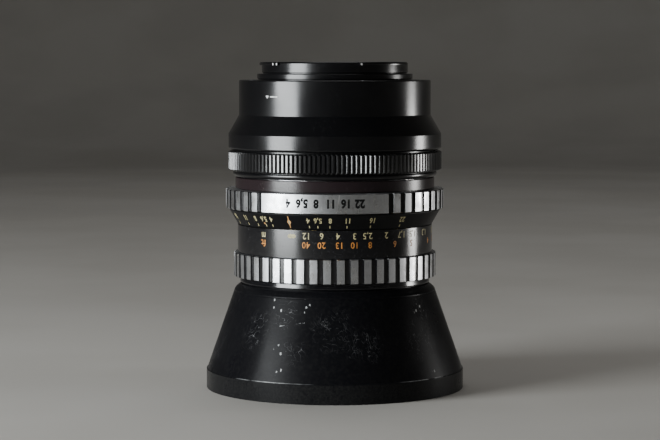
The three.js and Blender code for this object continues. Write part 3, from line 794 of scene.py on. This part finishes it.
pitch = 360 / STOP_PITCHES
aperture_ring = fluted("aperture_ring_shell", [
    (36.8, 65.35), (38.3, 65.35), (39.2, 65.35), (STOP_R, 65.58), (STOP_R, 72.08), (39.2, 72.31),
    (38.3, 72.31), (35.0, 72.31), (35.0, 70.0), (36.8, 70.0)],
    STOP_PITCHES, FIRST_FLUTE - pitch / 2, STOP_R, 0.55,
    lambda bearing: not (-1.0 < bearing < LAST_FLUTE - FIRST_FLUTE + pitch + 0.5), aluminium, gloss)
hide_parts("aperture_ring")
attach(aperture_ring, "aperture_ring")

black_fill = filled_paint("black_fill", (0.004, 0.004, 0.004), 0.8, 0.2)
stops = bmesh.new()
for number, label in enumerate(("4", "5,6", "8", "11", "16", "22")):
    put_mark(stops, figure_shape(label, narrow=0.85, heavy=0.055), 2.75,
             FIRST_STOP + STOP_SPACING * number, STOP_ROW, STOP_R, lift=0.012)
save_marks("stop_figures", stops, black_fill, "aperture_ring")

# ---------------------------------------------------------------- rear housing
# The fixed ring behind the aperture ring, turned from aluminium and anodised a brown
# black that has faded to violet, with a fine step at its rear edge.
brown = satin_anodised("brown_anodised", (0.016, 0.0105, 0.0118), 0.23, gloss_level=0.33)
rear_housing = turned("rear_housing_shell", [
    (34.75, 72.61), (36.07, 72.61), (36.07, 76.3), (35.9, 76.46), (30.2, 76.46),
    (30.2, 72.6), (33.1, 72.6), (33.1, 69.9), (34.75, 69.9)], brown)
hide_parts("rear_housing")
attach(rear_housing, "lens_base")

# ---------------------------------------------------------------- lock ring of the adapter
# The knurled ring that draws the lens tabs against the adapter, and the smooth lip
# screwed into its front. Black anodised, its hundred and forty-four teeth cut straight.
TEETH = 144
TOOTH_STEPS = 10
LOCK_R = 38.7
TOOTH_FOOT = 0.0381   # radii in metres: nothing is cut below the first, nor deeper than the second
TOOTH_ROOT = 0.03815

knurl_black = satin_anodised("knurl_black", (0.004, 0.004, 0.0045), 0.24, gloss_level=0.8)

lock_mesh = spin_outline([
    (36.35, 79.05), (37.6, 79.05), (38.1, 79.08), (LOCK_R, 79.5), (LOCK_R, 85.46), (38.1, 85.88),
    (37.6, 85.91), (36.35, 85.91)], TEETH * TOOTH_STEPS)
for vert in lock_mesh.verts:
    turn = math.degrees(math.atan2(vert.co.y, vert.co.x)) / 360 * TEETH
    into = abs((turn % 1.0) - 0.5)
    radius = vert.co.xy.length
    dip = max(0.0, 0.3 - into) * 2 * math.pi * LOCK_R / TEETH
    if radius > TOOTH_FOOT:
        vert.co.xy *= max(radius - dip * MM, TOOTH_ROOT) / radius
knurled = save_piece("knurled_lock_ring", lock_mesh, knurl_black)
even_shading(knurled)
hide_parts("lock_ring")
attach(knurled, "lock_ring")

lip = turned("lock_ring_front", [
    (34.65, 76.72), (36.2, 76.72), (36.55, 77.0), (36.85, 77.5), (36.9, 77.8), (36.9, 78.35),
    (36.5, 78.55), (36.5, 79.0), (34.65, 79.0)], satin_black, edge=0.00012)
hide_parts("lock_ring_lip")
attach(lip, "lock_ring")

# ---------------------------------------------------------------- adapter body
# The black anodised shell between lock ring and camera: a broad band, a cone and a
# narrower tube. A plain white arrow and bar stand where the lens's mark is lined up.
TUBE_R = 34.7
ARROW_ROW = 105.7

adapter = turned("adapter_shell", [
    (30.2, 81.35), (36.0, 81.35), (36.0, 86.5), (37.9, 86.5), (38.52, 87.15), (38.52, 92.1),
    (TUBE_R, 98.85), (TUBE_R, 111.12), (34.42, 111.4), (33.4, 111.4), (33.4, 109.9), (26.8, 109.9),
    (26.8, 108.4), (30.2, 108.4)], satin_black)
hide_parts("adapter_body")
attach(adapter, "lens_base")

white = filled_paint("white_fill", (0.78, 0.78, 0.76))
adapter_marks = bmesh.new()
put_mark(adapter_marks, bar_shape(3.3, 0.42), 1.0, -12.4, ARROW_ROW, TUBE_R)
put_mark(adapter_marks, dot_shape(1.7, 1.5, 3), 1.0, -17.4, ARROW_ROW, TUBE_R)
save_marks("adapter_mark", adapter_marks, white, "lens_base")

# ---------------------------------------------------------------- camera bayonet
# The ring that enters the camera: a flange screwed to the adapter, a step, and a short
# tube with three tabs. White dots on the tabs show where it goes in.
BAYONET_R = 26.4
TAB_R = 27.26
TAB_FROM = (44, 164, 284)
TAB_TURN = 53.5
DOT_ROW = 117.1

bayonet = turned("bayonet_flange", [
    (24.8, 110.0), (33.2, 110.0), (33.2, 111.38), (27.7, 111.38), (27.7, 111.78), (28.11, 111.85),
    (28.11, 113.45), (27.95, 113.64), (26.0, 113.64), (26.0, 114.0), (BAYONET_R, 114.1),
    (BAYONET_R, 117.35), (25.9, 117.87), (24.8, 117.87)], satin_black, edge=0.00008)
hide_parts("camera_bayonet_ring")
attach(bayonet, "lens_base")

for number, start in enumerate(TAB_FROM, 1):
    mesh = bmesh.new()
    corners = [mesh.verts.new(on_surface(start, radius, height))
               for radius, height in ((25.6, 116.7), (TAB_R, 116.7), (TAB_R, 117.5), (26.9, 117.85),
                                      (25.6, 117.85))]
    section = mesh.faces.new(corners)
    bmesh.ops.spin(
        mesh, geom=[section], cent=(0, 0, 0), axis=(0, 0, 1), dvec=(0, 0, 0),
        angle=math.radians(TAB_TURN), steps=40, use_merge=False, use_duplicate=False)
    bmesh.ops.recalc_face_normals(mesh, faces=mesh.faces[:])
    soften(mesh, 0.0001)
    tab = save_piece(f"bayonet_tab_{number}", mesh, satin_black)
    even_shading(tab)
    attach(tab, "lens_base")

bayonet_marks = bmesh.new()
for bearing in (-28.0, -23.6):
    put_mark(bayonet_marks, bar_shape(0.55, 0.75), 1.0, bearing, DOT_ROW, TAB_R)
put_mark(bayonet_marks, dot_shape(0.8, 0.75), 1.0, 45.8, DOT_ROW, TAB_R)
save_marks("bayonet_marks", bayonet_marks, white, "lens_base")

# ---------------------------------------------------------------- bayonet screws
# Four small slotted screws hold the flange on the adapter. Blackened steel, with the slot
# sawn straight across a slightly domed head.
SCREW_CIRCLE = 31.0
SLOT_HALF = 0.0002
SLOT_DEPTH = 0.0004


def blackened_steel():
    material, tree, shader = new_material("blackened_steel", (0.05, 0.05, 0.052), 0.32, 0.9)
    place = add_node(tree, "ShaderNodeTexCoord").outputs["Object"]
    rubbed = blend_colours(
        tree, spots(tree, place, 900.0, 4.0, 0.45, 0.7), (0.04, 0.04, 0.042), (0.22, 0.22, 0.22))
    tree.links.new(rubbed, shader.inputs["Base Color"])
    grain = add_node(tree, "ShaderNodeTexNoise", Vector=place, Scale=4000.0, Detail=2.0)
    bump = add_node(
        tree, "ShaderNodeBump", Height=grain.outputs[0], Distance=0.00001, Strength=0.4)
    tree.links.new(bump.outputs[0], shader.inputs["Normal"])
    return material


screw_steel = blackened_steel()
for number in range(1, 5):
    mesh = bmesh.new()
    bmesh.ops.create_cone(
        mesh, cap_ends=True, segments=32, radius1=0.00135, radius2=0.00128, depth=0.0009)
    for side in (-1, 1):
        bmesh.ops.bisect_plane(
            mesh, geom=mesh.verts[:] + mesh.edges[:] + mesh.faces[:], plane_co=(0, side * SLOT_HALF, 0),
            plane_no=(0, 1, 0))
    slot_floor = [face for face in mesh.faces
                  if face.normal.z > 0.9 and abs(face.calc_center_median().y) < 0.0001]
    walls = bmesh.ops.extrude_face_region(mesh, geom=slot_floor)
    sunk = [item for item in walls["geom"] if isinstance(item, bmesh.types.BMVert)]
    bmesh.ops.translate(mesh, verts=sunk, vec=(0, 0, -SLOT_DEPTH))
    bmesh.ops.delete(mesh, geom=slot_floor, context="FACES_ONLY")
    turn = Matrix.Rotation(math.radians(37 * number), 4, "Z")
    centre = on_surface(45 + 90 * (number - 1), SCREW_CIRCLE, 111.0)
    bmesh.ops.transform(mesh, matrix=Matrix.Translation(centre) @ turn, verts=mesh.verts[:])
    bmesh.ops.recalc_face_normals(mesh, faces=mesh.faces[:])
    screw = save_piece(f"flange_screw_{number}", mesh, screw_steel)
    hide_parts(f"bayonet_screw_{number}")
    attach(screw, "lens_base")

# ---------------------------------------------------------------- adapter throat and rear glass cell
# What is seen down the throat: a ribbed black baffle, the black cell of the rear glasses
# and the ring that holds the last one in.
baffle_ribs = [(28.4 if step else 28.95, 91.0 + 1.4 * i + (0.7 if step else 0.0))
               for i in range(12) for step in (0, 1)]
baffle = turned("throat_baffle", [
    (29.8, 90.0), (29.8, 108.2), (28.95, 108.2), *baffle_ribs[::-1], (28.95, 90.0)],
    satin_black, sides=160, edge=0.00005)
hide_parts("adapter_baffle_sleeve")
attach(baffle, "lens_base")

rear_cell = turned("rear_glass_cell", [
    (16.3, 69.2), (28.0, 69.2), (28.0, 70.3), (19.5, 70.3), (19.5, 87.8), (19.1, 88.2),
    (17.0, 88.2), (16.3, 87.4)], satin_black, sides=160)
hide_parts("rear_group_cell")
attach(rear_cell, "front_unit")

rear_retainer = turned("rear_glass_retainer", [
    (14.2, 85.9), (14.7, 85.6), (16.0, 85.6), (16.0, 86.8), (15.2, 86.8)], satin_black, sides=160)
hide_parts("rear_retaining_ring")
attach(rear_retainer, "front_unit")

# ---------------------------------------------------------------- stop-down pin spring
# A steel coil of four turns round the stem of the stop-down pin. It stands on the carrier
# plate and is squeezed by the pin's collar, down to two fifths of its length.
COIL_TURNS = 4
STEPS_A_TURN = 24
COIL_R = 0.00115
WIRE_R = 0.00015
coil_low, coil_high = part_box("stop_down_spring")
coil_foot = Vector(((coil_low[0] + coil_high[0]) / 2, (coil_low[1] + coil_high[1]) / 2, coil_low[2]))
coil_rise = coil_high[2] - coil_low[2] - 2 * WIRE_R
coil_steps = COIL_TURNS * STEPS_A_TURN


def turned_metal(name, colour, tarnish, roughness):
    material, tree, shader = new_material(name, colour, roughness, 1.0)
    place = add_node(tree, "ShaderNodeTexCoord").outputs["Object"]
    normal, lines = turning_marks(tree, place, 0.0002, 0.00001, 0.5)
    tree.links.new(normal, shader.inputs["Normal"])
    tree.links.new(
        blend_colours(tree, spots(tree, place, 180.0, 5.0), colour, tarnish),
        shader.inputs["Base Color"])
    wiped = add_node(
        tree, "ShaderNodeMapRange", Value=lines, To_Min=roughness - 0.08, To_Max=roughness + 0.12)
    tree.links.new(wiped.outputs[0], shader.inputs["Roughness"])
    return material


ground_steel = turned_metal("ground_steel", (0.48, 0.48, 0.49), (0.34, 0.33, 0.33), 0.3)
coil_mesh = bmesh.new()
bmesh.ops.create_circle(coil_mesh, cap_ends=True, radius=WIRE_R, segments=10)
bmesh.ops.rotate(
    coil_mesh, verts=coil_mesh.verts[:], cent=(0, 0, 0), matrix=Matrix.Rotation(math.pi / 2, 3, "X"))
bmesh.ops.translate(
    coil_mesh, verts=coil_mesh.verts[:], vec=coil_foot + Vector((COIL_R, 0, WIRE_R)))
bmesh.ops.spin(
    coil_mesh, geom=coil_mesh.faces[:], cent=coil_foot, axis=(0, 0, 1),
    dvec=(0, 0, coil_rise / coil_steps), angle=2 * math.pi * COIL_TURNS, steps=coil_steps,
    use_merge=False, use_duplicate=False)
bmesh.ops.recalc_face_normals(coil_mesh, faces=coil_mesh.faces[:])
pin_spring = save_piece("stop_down_coil", coil_mesh, ground_steel)
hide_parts("stop_down_spring")
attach(pin_spring, "lens_base")
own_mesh(pin_spring)

# ---------------------------------------------------------------- working parts inside
# Brass helicoids, steel pins, screws and springs, blued iris blades and matt black cells
# keep their own shapes and take turned, ground or blued metal.
node_finishes = {
    "brass": turned_metal("greased_brass", (0.62, 0.45, 0.18), (0.40, 0.28, 0.12), 0.3),
    "steel": ground_steel,
    "blade_steel": turned_metal("blued_steel", (0.045, 0.045, 0.055), (0.03, 0.03, 0.04), 0.35),
    "black_anodise": satin_black,
    "black_lacquer": gloss,
    "brushed_silver": aluminium,
    "brown_anodise": brown,
    "coated_glass": glass,
}
for row in frame["record"]["subparts"]:
    node = frame["nodes"][row["node"]]
    for slot in node.material_slots:
        slot.material = node_finishes[row["material_slot"]]
